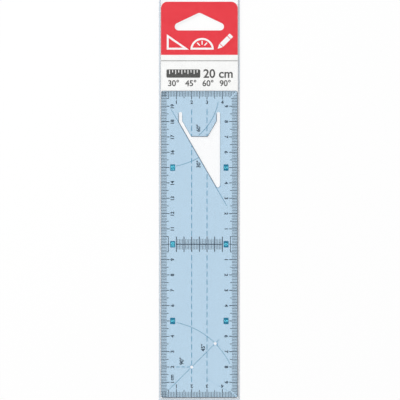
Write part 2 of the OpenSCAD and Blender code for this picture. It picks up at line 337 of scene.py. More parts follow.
@dataclass(frozen=True)
class ClearSheet(Finish):
    """Clear material: light passes it, but for a haze or painted shade within it and the gloss of its skin.
    """

    tint: Colour = (1.0, 1.0, 1.0)
    mirror: float = 0.004
    skin_rough: Span = (0.05, 0.13)
    # Side away from the key lamp: walls that face it get painted shade
    shade_side: Triple = (0.8, -0.6, 0.0)
    shade_lean: Span = (0.0, 0.5)

    def shade(self, graph: NodeGraph) -> Wire:
        """How far a wall faces the dark side, from 0 to 1."""
        return graph.leaning(self.shade_side).ramp(*self.shade_lean)

    def sheet(self, graph: NodeGraph, share: Wire, haze: Wire, wear: Wire, normal: Wire) -> Wire:
        """Joins the clear body, its haze and painted shade, and its skin.

        Args:
            graph: Where the nodes go.
            share: How much of the haze and painted shade shows.
            haze: Shader of the haze and painted shade.
            wear: How worn the skin is, from 0 to 1.
            normal: Surface normal of the skin.

        Returns:
            The shader.
        """
        clear = graph.add("ShaderNodeBsdfTransparent", {}, {"Color": (*self.tint, 1.0)})
        rough = wear.between(*self.skin_rough)
        skin = graph.add("ShaderNodeBsdfGlossy", {}, {"Roughness": rough, "Normal": normal})
        body = graph.mix(share.clamped(), clear, haze)
        return graph.mix(graph.mirror_share(self.mirror, normal), body, skin)


@dataclass(frozen=True)
class TintedPlate(ClearSheet):
    """Clear moulded plastic, tinted blue, with painted shade along its rounded rims, most on the side away
    from the key lamp.

    The painted rim shade is left out at unshaded spots, given by their place and reach.
    """

    tint: Colour = (0.75, 0.853, 0.924)
    mirror: float = 0.008
    skin_rough: Span = (0.03, 0.15)
    body_colour: Colour = (0.36, 0.55, 0.72)
    body_haze: Span = (0.01, 0.04)
    # Painted shade on the rims: its colour, the levels over which a face turns into rim, and its share
    rim_shade_colour: Colour = (0.045, 0.085, 0.125)
    rim_shade_level: Span = (0.88, 0.998)
    rim_shade_share: float = 0.18
    # Walls keep only a share of the painted rim shade; rims facing away from the key lamp get painted shade
    # of their own
    wall_level: Span = (0.05, 0.4)
    wall_share: float = 0.25
    painted_shade_share: float = 0.95
    haze_shade_rough: Span = (0.3, 0.5)
    haze_shade_shine: float = 0.3
    unshaded_spots: tuple[Triple, ...] = ()
    spot_core: float = 0.8
    flow: float = 14.0 * MM
    flow_stretch: Triple = (1.0, 0.22, 1.0)
    scuff: float = 0.5 * MM
    scuff_stretch: Triple = (1.0, 0.06, 1.0)
    relief: float = 0.002 * MM

    def surface(self, graph: NodeGraph) -> Wire:
        """A tinted clear body with faint flow lines, rims darkened by painted shade and a polished, lightly
        scuffed skin.

        Args:
            graph: Where the nodes go.

        Returns:
            The shader.
        """
        flow = graph.noise(graph.place(self.flow_stretch), self.flow)
        scuff = graph.noise(graph.place(self.scuff_stretch), self.scuff, detail=4.0)
        level = graph.upright()
        # Mask of the painted rim shade, weaker on walls and left out at the unshaded spots
        rim = 1.0 - level.ramp(*self.rim_shade_level)
        rim = rim * level.ramp(*self.wall_level).between(self.wall_share, 1.0)
        for x, y, reach in self.unshaded_spots:
            rim = rim * graph.distance(x, y).ramp(self.spot_core * reach, reach)
        shade = rim * self.shade(graph)
        # The body's haze, blended into dark painted shade on the rims
        haze_and_rim_shade = graph.principled({
            "Base Color": graph.blend(rim, self.body_colour, self.rim_shade_colour),
            "Roughness": scuff.between(*self.haze_shade_rough),
            "Specular IOR Level": self.haze_shade_shine,
        })
        # The body's haze, plus painted shade on the rims and more on rims away from the key lamp
        share = flow.between(*self.body_haze) + self.rim_shade_share * rim + self.painted_shade_share * shade
        return self.sheet(graph, share, haze_and_rim_shade, scuff, graph.bump(scuff, self.relief))


@dataclass(frozen=True)
class ClearFilm(ClearSheet):
    """Thin glossy film with soft creases, a faint haze and painted shade on its steep walls."""

    tint: Colour = (0.995, 0.996, 0.998)
    haze_colour: Colour = (0.8, 0.82, 0.84)
    haze: Span = (0.001, 0.009)
    haze_edge: Span = (0.5, 0.8)
    haze_rough: Span = (0.4, 0.6)
    # Painted shade on the steep walls where the film folds over the contents: its colour, levels and share,
    # more on walls away from the key lamp
    fold_shade_colour: Colour = (0.18, 0.23, 0.28)
    fold_level: Span = (0.15, 0.9)
    fold_shade_share: float = 0.2
    painted_shade_share: float = 0.28
    crease: float = 6.0 * MM
    crease_stretch: Triple = (1.0, 0.35, 1.0)
    drag: float = 0.7 * MM
    drag_stretch: Triple = (1.0, 0.03, 1.0)
    drag_relief: float = 0.02
    relief: float = 0.05 * MM

    def surface(self, graph: NodeGraph) -> Wire:
        """A clear web that mirrors more at a grazing angle, with creases, drawn streaks and painted shade on
        its steep walls.

        Args:
            graph: Where the nodes go.

        Returns:
            The shader.
        """
        crease = graph.noise(graph.place(self.crease_stretch), self.crease)
        drag = graph.noise(graph.place(self.drag_stretch), self.drag, detail=2.0)
        # Mask of the steep walls that get painted shade
        fold_shade = 1.0 - graph.upright().ramp(*self.fold_level)
        streaks = graph.blend(drag, self.haze_colour, self.tint)
        haze_and_fold_shade = graph.principled({
            "Base Color": graph.blend(fold_shade, streaks, self.fold_shade_colour),
            "Roughness": drag.between(*self.haze_rough),
        })
        # Share of painted shade on the walls, more on those facing away from the key lamp
        wall = self.fold_shade_share + self.painted_shade_share * self.shade(graph)
        share = drag.ramp(*self.haze_edge).between(*self.haze) + wall * fold_shade
        normal = graph.bump(crease + drag * self.drag_relief, self.relief)
        return self.sheet(graph, share, haze_and_fold_shade, drag, normal)


@dataclass(frozen=True)
class WeldedFilm(ClearSheet):
    """Film that is hazy where heat has welded two webs together, with its haze darkened to paint the shade
    along the sleeve's edges.
    """

    # Dimmer tint and dark grey haze: partly the weld's own haze, partly painted shade along the sleeve's
    # edges
    tint: Colour = (0.885, 0.92, 0.955)
    mirror: float = 0.03
    skin_rough: Span = (0.12, 0.27)
    haze_colour: Colour = (0.38, 0.45, 0.52)
    haze: Span = (0.12, 0.24)
    haze_rough: Span = (0.35, 0.6)
    blotch: float = 1.1 * MM
    relief: float = 0.03 * MM

    def surface(self, graph: NodeGraph) -> Wire:
        """A hazy grey band with blotches where the weld took less heat; the grey is partly the weld's haze
        and partly painted shade.

        Args:
            graph: Where the nodes go.

        Returns:
            The shader.
        """
        blotch = graph.noise(graph.place(), self.blotch)
        normal = graph.bump(blotch, self.relief)
        weld_haze_and_shade = graph.principled({
            "Base Color": graph.blend(blotch, self.haze_colour, self.tint),
            "Roughness": blotch.between(*self.haze_rough),
            "Normal": normal,
        })
        return self.sheet(graph, blotch.between(*self.haze), weld_haze_and_shade, blotch, normal)


@dataclass(frozen=True)
class PaleFloor(Finish):
    """A white studio floor that keeps the object's shadow."""

    colour: Colour = (0.95, 0.95, 0.95)
    shade_colour: Colour = (0.94, 0.94, 0.94)
    rough: Span = (0.8, 0.9)
    mottle: float = 60.0 * MM
    white_share: float = 0.82
    white_reach: Span = (0.25, 0.8)

    def surface(self, graph: NodeGraph) -> Wire:
        """A matt floor, lifted to white for the camera and for clear material, most of all far away.

        Args:
            graph: Where the nodes go.

        Returns:
            The shader.
        """
        mottle = graph.noise(graph.place(), self.mottle)
        matt = graph.principled({
            "Base Color": graph.blend(mottle, self.colour, self.shade_colour),
            "Roughness": mottle.between(*self.rough),
            "Specular IOR Level": 0.0,
        })
        white = graph.add("ShaderNodeEmission", {}, {"Strength": 1.0})
        share = graph.vector("LENGTH", graph.place(), None, "Value").ramp(*self.white_reach)
        return graph.mix(share.between(self.white_share, 1.0) * graph.shown_rays(), matt, white)


DARK_INK = PrintedInk("dark_ink", (0.012, 0.02, 0.034), (0.02, 0.033, 0.05))
CYAN_INK = PrintedInk("cyan_ink", (0.0, 0.3, 0.42), (0.01, 0.35, 0.47))
GUIDE_INK = PrintedInk("guide_ink", (0.0, 0.34, 0.48), (0.003, 0.38, 0.53))
TEAL_INK = PrintedInk("teal_ink", (0.0, 0.31, 0.385), (0.002, 0.35, 0.425))
PALE_INK = PrintedInk("pale_ink", (0.2, 0.93, 0.96), (0.26, 0.94, 0.97))
RED_INK = PrintedInk("red_ink", (0.752, 0.0268, 0.0424), (0.781, 0.033, 0.05), patch=5.0 * MM)
GREY_INK = PrintedInk("grey_ink", (0.28, 0.285, 0.27), (0.33, 0.33, 0.32))
CHARCOAL_INK = PrintedInk("charcoal_ink", (0.06, 0.06, 0.058), (0.085, 0.085, 0.08))
WHITE_INK = PrintedInk("white_ink", (0.93, 0.93, 0.92), (0.89, 0.89, 0.88))
COATED_CARD = CoatedCard("coated_card")
FILM = ClearFilm("sleeve_film")
WELD = WeldedFilm("sleeve_weld")
FLOOR = PaleFloor("studio_floor")


def smooth(share: float) -> float:
    """A smooth step from 0 to 1 over shares from 0 to 1."""
    held = min(max(share, 0.0), 1.0)
    return held * held * (3.0 - 2.0 * held)


def stations(start: float, end: float, step: float) -> list[float]:
    """Evenly spaced values from start to end, about a step apart."""
    count = max(1, round((end - start) / step))
    return [start + (end - start) * i / count for i in range(count + 1)]


def arc(centre: Point, radius: float, start: float, end: float, count: int) -> list[Point]:
    """Points along an arc about a centre, in a number of steps between two angles in degrees."""
    angles = [math.radians(start + (end - start) * i / count) for i in range(count + 1)]
    return [(centre[0] + radius * math.cos(a), centre[1] + radius * math.sin(a)) for a in angles]


def round_box(centre: Point, width: float, height: float, radius: float) -> list[Point]:
    """Outline of a rectangle with round corners.

    Args:
        centre: Middle of the rectangle.
        width: Its size across.
        height: Its size upwards.
        radius: Radius of its corners.

    Returns:
        The outline's points, anticlockwise.
    """
    across, up = width / 2 - radius, height / 2 - radius
    corners = ((across, up, 0.0), (-across, up, 90.0), (-across, -up, 180.0), (across, -up, 270.0))
    loop: list[Point] = []
    for x, y, start in corners:
        loop += arc((centre[0] + x, centre[1] + y), radius, start, start + 90.0, CORNER_STEPS)
    return loop


def inside(point: Point, loop: Sequence[Point]) -> bool:
    """Tests whether a point lies inside a closed loop.

    Args:
        point: The point.
        loop: The loop's corners.

    Returns:
        True if it does.
    """
    x, y = point
    held = False
    for (x0, y0), (x1, y1) in zip(loop, [*loop[1:], loop[0]]):
        if (y0 > y) != (y1 > y) and x < x0 + (y - y0) * (x1 - x0) / (y1 - y0):
            held = not held
    return held


def triangulate(
    loops: Sequence[Sequence[Point]], extra: Sequence[Point] = ()
) -> tuple[list[Point], list[list[int]]]:
    """Fills loops with triangles, by the even-odd rule, through some extra points.

    Args:
        loops: Closed outlines and holes.
        extra: Further points inside that become corners.

    Returns:
        The corner points and the triangles between them.
    """
    points: list[Vector] = []
    edges: list[tuple[int, int]] = []
    for loop in loops:
        first = len(points)
        points += [Vector(p) / MM for p in loop]
        edges += [(first + i, first + (i + 1) % len(loop)) for i in range(len(loop))]
    points += [Vector(p) / MM for p in extra]
    found, _, faces, *_ = geometry.delaunay_2d_cdt(points, edges, [], FILL_INSIDE, FILL_JOIN)
    corners = [(p.x * MM, p.y * MM) for p in found]
    kept = []
    for face in faces:
        middle = tuple(sum(corners[i][axis] for i in face) / len(face) for axis in (0, 1))
        if sum(inside(middle, loop) for loop in loops) % 2:
            kept.append(list(face))
    return corners, kept


def new_piece(name: str, shape: bmesh.types.BMesh) -> bpy.types.Object:
    """Makes an object of a shape, smooth but for its sharp edges.

    Args:
        name: Name of the piece.
        shape: Its mesh, which is freed.

    Returns:
        The new object.
    """
    bmesh.ops.recalc_face_normals(shape, faces=shape.faces)
    mesh = bpy.data.meshes.new(name)
    shape.to_mesh(mesh)
    shape.free()
    mesh.shade_smooth()
    mesh.set_sharp_from_angle(angle=math.radians(SHARP_ANGLE))
    piece = bpy.data.objects.new(name, mesh)
    bpy.context.scene.collection.objects.link(piece)
    return piece


def thicken(shape: bmesh.types.BMesh, sheet: Sequence[bmesh.types.BMFace], thickness: float) -> None:
    """Closes an open sheet into a solid.

    Args:
        shape: Mesh that holds the sheet.
        sheet: Faces of the sheet.
        thickness: How far the solid reaches down from them.
    """
    made = bmesh.ops.extrude_face_region(shape, geom=list(sheet), use_keep_orig=True)
    lower = [item for item in made["geom"] if isinstance(item, bmesh.types.BMVert)]
    bmesh.ops.translate(shape, verts=lower, vec=(0.0, 0.0, -thickness))


class Facing(Enum):
    """Which edge of the ruler the tops of the letters face, as a turn in degrees."""

    TOP = 0.0
    LEFT = 90.0
    BOTTOM = 180.0
    RIGHT = -90.0


@dataclass(frozen=True)
class FigureStyle:
    """Height of a digit, boldness as a share of the font size, and distance of the middle from an edge."""

    height: float
    weight: float
    inset: float = 0.0


class PrintLayer:
    """Shapes and figures that share one layer of ink between two levels."""

    def __init__(self, low: float, high: float) -> None:
        """Starts an empty layer between a lower and an upper level."""
        self.low, self.high = low, high
        self.shape = bmesh.new()

    def fill(self, *loops: Sequence[Point]) -> None:
        """Adds the area of some loops, by the even-odd rule.

        Args:
            loops: Outlines and holes.
        """
        corners, faces = triangulate(loops)
        made = [self.shape.verts.new((x, y, self.high)) for x, y in corners]
        sheet = [self.shape.faces.new([made[i] for i in face]) for face in faces]
        thicken(self.shape, sheet, self.high - self.low)

    def write(self, words: str, centre: Point, facing: Facing, style: FigureStyle) -> None:
        """Adds figures, thickest in their middle and thin along their edges as ink is.

        Args:
            words: What is written.
            centre: Middle of the figures.
            facing: Edge that their tops face.
            style: Their height and boldness.
        """
        mesh = figure_mesh(words, style.weight)
        corners = [v.co for v in mesh.vertices]
        middle = [(min(c[i] for c in corners) + max(c[i] for c in corners)) / 2 for i in (0, 1)]
        size = style.height / DIGIT_SHARE
        flat = Matrix.Diagonal((size, size, (self.high - self.low) / (2.0 * style.weight), 1.0))
        turn = Matrix.Rotation(math.radians(facing.value), 4, "Z")
        to_middle = Matrix.Translation((-middle[0], -middle[1], 0.0))
        to_place = Matrix.Translation((*centre, (self.low + self.high) / 2))
        mesh.transform(to_place @ turn @ flat @ to_middle)
        self.shape.from_mesh(mesh)
        bpy.data.meshes.remove(mesh)

    def piece(self, name: str) -> bpy.types.Object:
        """Makes the layer's object under a name."""
        bmesh.ops.remove_doubles(self.shape, verts=self.shape.verts, dist=JOIN_DISTANCE)
        return new_piece(name, self.shape)


def figure_mesh(words: str, weight: float) -> bpy.types.Mesh:
    """Solid mesh of some figures in the plain built-in font, at a font size of 1.

    Args:
        words: What is written.
        weight: How far a sloped edge stands out beyond the outlines, and above and below them.

    Returns:
        A mesh that the caller removes.
    """
    font = bpy.data.curves.new("figures", "FONT")
    font.body = words
    font.bevel_depth = weight
    font.bevel_resolution = 0
    writer = bpy.data.objects.new("figures", font)
    bpy.context.scene.collection.objects.link(writer)
    bpy.context.view_layer.update()
    mesh = bpy.data.meshes.new_from_object(writer.evaluated_get(bpy.context.evaluated_depsgraph_get()))
    bpy.data.objects.remove(writer)
    bpy.data.curves.remove(font)
    return mesh


def settle(piece: bpy.types.Object, body: str, finish: Finish, slot: str, *nodes: str) -> None:
    """Dresses a new piece and ties it to the frame.

    Args:
        piece: The new piece.
        body: CAD body that it moves with.
        finish: Its finish.
        slot: Material slot of the record; not used.
        nodes: CAD nodes that it stands for.
    """
    finish.dress(piece)
    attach(piece, body)
    if nodes:
        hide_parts(*nodes)
    LOG.info("%s rides on %s, finish %s", piece.name, body, finish.name)


@dataclass
class RulerAssembly:
    """The clear plate with its printed scales, numerals and angle labels."""

    body: str = "ruler"
    rim_round: float = 0.65 * MM
    rim_steps: int = 3
    rim_angle: float = 40.0
    flat_angle: float = 1.0
    ink_drop: float = 0.005 * MM
    numeral: FigureStyle = FigureStyle(2.15 * MM, 0.036, 7.4 * MM)
    tab_numeral: FigureStyle = FigureStyle(2.2 * MM, 0.034, 7.6 * MM)
    label: FigureStyle = FigureStyle(2.4 * MM, 0.027)
    unit_place: Point = (7.4 * MM, 13.1 * MM)
    cm: float = 10.0 * MM
    tab_every: int = 5
    # Place and reach of the spots where the rims get no painted shade: at both pencil holes, then at the
    # ends of the cut-out's legs
    unshaded_spots: tuple[Triple, ...] = (
        (20.0 * MM, 20.0 * MM, 2.4 * MM),
        (35.36 * MM, 35.36 * MM, 2.4 * MM),
        (12.7 * MM, 186.4 * MM, 1.8 * MM),
        (37.4 * MM, 186.4 * MM, 1.8 * MM),
    )
    labels: dict[str, Point] = field(default_factory=lambda: {
        "60°": (24.28 * MM, 175.7 * MM),
        "30°": (24.38 * MM, 152.2 * MM),
        "45°": (27.32 * MM, 32.5 * MM),
        "90°": (13.38 * MM, 23.8 * MM),
    })
    inks: dict[str, Finish] = field(default_factory=lambda: {
        **{f"{where}_scale_print": DARK_INK for where in ("left", "right", "top", "bottom", "middle")},
        "number_tabs_print": TEAL_INK,
        "guide_lines_print": GUIDE_INK,
        "angle_marks_print": CYAN_INK,
    })

    def __post_init__(self) -> None:
        """Reads the plate's corner and size, and the level of its print, from the frame."""
        low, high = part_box("ruler_plate")
        self.corner = (low.x, low.y)
        self.width = high.x - low.x
        self.length = high.y - low.y
        self.ink_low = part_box("left_scale_print")[0].z
        self.ink_high = low.z
        spots = tuple((*self.at(x, y), reach) for x, y, reach in self.unshaded_spots)
        self.plate_finish = TintedPlate("tinted_plate", unshaded_spots=spots)

    def at(self, x: float, y: float) -> Point:
        """A point of the ruler, measured from its lower left corner, in the shared frame."""
        return self.corner[0] + x, self.corner[1] + y

    def build(self) -> None:
        """Dresses the plate and its print, and adds the figures."""
        self.dress_plate()
        for node, ink in self.inks.items():
            self.dress_print(node, ink)
        self.add_numerals()
        self.add_labels()

    def dress_plate(self) -> None:
        """Gives the plate its tint and softly rounded rims."""
        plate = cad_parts["ruler_plate"]
        self.plate_finish.dress(plate)
        weld = plate.modifiers.new("joined_faces", "WELD")
        weld.merge_threshold = JOIN_DISTANCE
        flat = plate.modifiers.new("flat_faces", "DECIMATE")
        flat.decimate_type = "DISSOLVE"
        flat.angle_limit = math.radians(self.flat_angle)
        rim = plate.modifiers.new("rounded_rims", "BEVEL")
        rim.width = self.rim_round
        rim.segments = self.rim_steps
        rim.limit_method = "ANGLE"
        rim.angle_limit = math.radians(self.rim_angle)
        rim.use_clamp_overlap = False
        LOG.info("ruler_plate keeps its solid, finish %s", self.plate_finish.name)

    def dress_print(self, node: str, ink: Finish) -> None:
        """Inks one printed layer, and draws it a hair below the plate so that they share no face.

        Args:
            node: CAD node of the layer.
            ink: Its ink.
        """
        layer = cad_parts[node]
        ink.dress(layer)
        drop = layer.modifiers.new("below_plate", "DISPLACE")
        drop.direction = "Z"
        drop.mid_level = 0.0
        drop.strength = -self.ink_drop
        LOG.info("%s keeps its solid, finish %s", node, ink.name)

    def add_numerals(self) -> None:
        """Writes the centimetre numbers along the four edges, and the pale ones on the tabs."""
        dark = PrintLayer(self.ink_low, self.ink_high - self.ink_drop)
        pale = PrintLayer(self.ink_high - self.ink_drop, self.ink_high + self.ink_drop)
        middle = round(self.length / self.cm / 2)
        for step in range(1, 2 * middle):
            on_tab = step % self.tab_every == 0
            layer, style = (pale, self.tab_numeral) if on_tab else (dark, self.numeral)
            left = self.at(style.inset, step * self.cm)
            right = self.at(self.width - style.inset, step * self.cm)
            layer.write(str(step), left, Facing.LEFT, style)
            layer.write(str(abs(step - middle)), right, Facing.RIGHT, style)
        for step in range(1, round(self.width / self.cm)):
            upper = self.at(step * self.cm, self.length - self.numeral.inset)
            lower = self.at(step * self.cm, self.numeral.inset)
            dark.write(str(step), upper, Facing.TOP, self.numeral)
            dark.write(str(step), lower, Facing.BOTTOM, self.numeral)
        dark.write("cm", self.at(*self.unit_place), Facing.LEFT, self.numeral)
        settle(dark.piece("scale_numerals"), self.body, DARK_INK, "dark_print")
        settle(pale.piece("tab_numerals"), self.body, PALE_INK, "cyan_print")

    def add_labels(self) -> None:
        """Writes the angle labels beside their rays and arcs."""
        layer = PrintLayer(self.ink_low, self.ink_high - self.ink_drop)
        for words, place in self.labels.items():
            layer.write(words, self.at(*place), Facing.LEFT, self.label)
        settle(layer.piece("angle_labels"), self.body, DARK_INK, "dark_print")


@dataclass
class HeaderCard:
    """The white card with its red field, thin rule and generic drawing-tool pictograms."""

    body: str = "card"
    ink_t: float = 0.03 * MM
    stroke: float = 1.25 * MM
    icon_h: float = 10.0 * MM
    icon_y: float = 31.5 * MM
    square_w: float = 14.5 * MM
    square_x: float = -21.2 * MM
    dial_r: float = 7.6 * MM
    dial_x: float = 1.8 * MM
    dial_steps: int = 24
    ray_angles: tuple[float, ...] = (45.0, 90.0, 135.0)
    ray_reach: Span = (0.32, 0.72)
    ray_w: float = 0.75 * MM
    pencil_x: float = 16.4 * MM
    pencil_len: float = 12.6 * MM
    pencil_w: float = 3.1 * MM
    pencil_cuts: tuple[float, ...] = (0.0, 0.16, 0.72, 1.0)
    pencil_gap: float = 0.4375 * MM
    size_y: float = 10.95 * MM
    size_x: float = 12.2 * MM
    size_style: FigureStyle = FigureStyle(5.4 * MM, 0.02)
    bar_w: float = 22.0 * MM
    bar_h: float = 5.4 * MM
    bar_x: float = -10.4 * MM
    bar_r: float = 0.8 * MM
    tick_count: int = 10
    tick_w: float = 0.55 * MM
    tick_r: float = 0.165 * MM
    tick_inset: float = 0.35 * MM
    tick_reach: Span = (0.32, 0.5)
    angles: tuple[str, ...] = ("30°", "45°", "60°", "90°")
    angles_y: float = 4.75 * MM
    angles_pitch: float = 11.2 * MM
    angles_style: FigureStyle = FigureStyle(3.7 * MM, 0.02)

    def __post_init__(self) -> None:
        """Reads the card's lower edge and the level of its print from the frame."""
        foot, ink_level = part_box("header_card")[0].y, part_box("header_red_print")[1].z
        self.foot = foot
        self.icon_foot = foot + self.icon_y - self.icon_h / 2
        self.tools = PrintLayer(ink_level, ink_level + self.ink_t)
        self.facts = PrintLayer(ink_level - self.ink_t, ink_level)

    def build(self) -> None:
        """Dresses the card and its print, and adds the pictograms."""
        for node, finish in (
            ("header_card", COATED_CARD),
            ("header_red_print", RED_INK),
            ("header_rule_print", GREY_INK),
        ):
            finish.dress(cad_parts[node])
            LOG.info("%s keeps its solid, finish %s", node, finish.name)
        self.add_tools()
        self.add_facts()

    def add_tools(self) -> None:
        """Draws a set square, a protractor and a pencil in white on the red field."""
        self.draw_square()
        self.draw_dial()
        self.draw_pencil()
        settle(self.tools.piece("card_tool_pictograms"), self.body, WHITE_INK, "card_stock")

    def draw_square(self) -> None:
        """Draws a right-angled set square with an open middle."""
        left, right = self.square_x, self.square_x + self.square_w
        base, top = self.icon_foot, self.icon_foot + self.icon_h
        slope = math.hypot(self.square_w, self.icon_h)
        inner_w = self.square_w - self.stroke * (1 + (slope + self.square_w) / self.icon_h)
        inner_h = inner_w * self.icon_h / self.square_w
        inner_x, inner_y = left + self.stroke, base + self.stroke
        self.tools.fill(
            [(left, base), (right, base), (left, top)],
            [(inner_x, inner_y), (inner_x + inner_w, inner_y), (inner_x, inner_y + inner_h)],
        )

    def draw_dial(self) -> None:
        """Draws a half-round protractor with an open middle and short rays."""
        centre = (self.dial_x, self.icon_foot)
        inner = self.dial_r - self.stroke
        lean = math.degrees(math.asin(self.stroke / inner))
        self.tools.fill(
            arc(centre, self.dial_r, 0.0, 180.0, self.dial_steps),
            arc(centre, inner, lean, 180.0 - lean, self.dial_steps),
        )
        foot = Vector((self.dial_x, self.icon_foot + self.stroke))
        for angle in self.ray_angles:
            along = Vector((math.cos(math.radians(angle)), math.sin(math.radians(angle))))
            side = along.orthogonal() * self.ray_w / 2
            near, far = (foot + along * inner * share for share in self.ray_reach)
            self.tools.fill([tuple(p) for p in (near - side, far - side, far + side, near + side)])

    def draw_pencil(self) -> None:
        """Draws a slanted pencil in three parts: end, shaft and point."""
        along = Vector((-1.0, -1.0)).normalized()
        side = along.orthogonal() * self.pencil_w / 2
        tail = Vector((self.pencil_x, self.foot + self.icon_y)) - along * self.pencil_len / 2
        for start, end in zip(self.pencil_cuts, self.pencil_cuts[1:]):
            near = tail + along * (start * self.pencil_len + (self.pencil_gap if start else 0.0))
            far = tail + along * (end * self.pencil_len)
            is_point = end == self.pencil_cuts[-1]
            corners = [near + side, far] if is_point else [near + side, far + side, far - side]
            self.tools.fill([tuple(c) for c in [*corners, near - side]])

    def add_facts(self) -> None:
        """Prints a ruler pictogram, the length and the angles in dark grey on the white field."""
        self.draw_bar()
        self.facts.write("20 cm", (self.size_x, self.foot + self.size_y), Facing.TOP, self.size_style)
        first = -self.angles_pitch * (len(self.angles) - 1) / 2
        for number, words in enumerate(self.angles):
            place = (first + number * self.angles_pitch, self.foot + self.angles_y)
            self.facts.write(words, place, Facing.TOP, self.angles_style)
        settle(self.facts.piece("card_size_print"), self.body, CHARCOAL_INK, "grey_print")

    def draw_bar(self) -> None:
        """Draws a solid ruler bar with open tick marks, long and short in turn."""
        middle_y = self.foot + self.size_y
        pitch = self.bar_w / (self.tick_count + 1)
        top = middle_y + self.bar_h / 2 - self.tick_inset
        ticks = []
        for number in range(1, self.tick_count + 1):
            x = self.bar_x - self.bar_w / 2 + number * pitch
            length = self.bar_h * self.tick_reach[number % 2]
            ticks.append(round_box((x, top - length / 2), self.tick_w, length, self.tick_r))
        self.facts.fill(round_box((self.bar_x, middle_y), self.bar_w, self.bar_h, self.bar_r), *ticks)


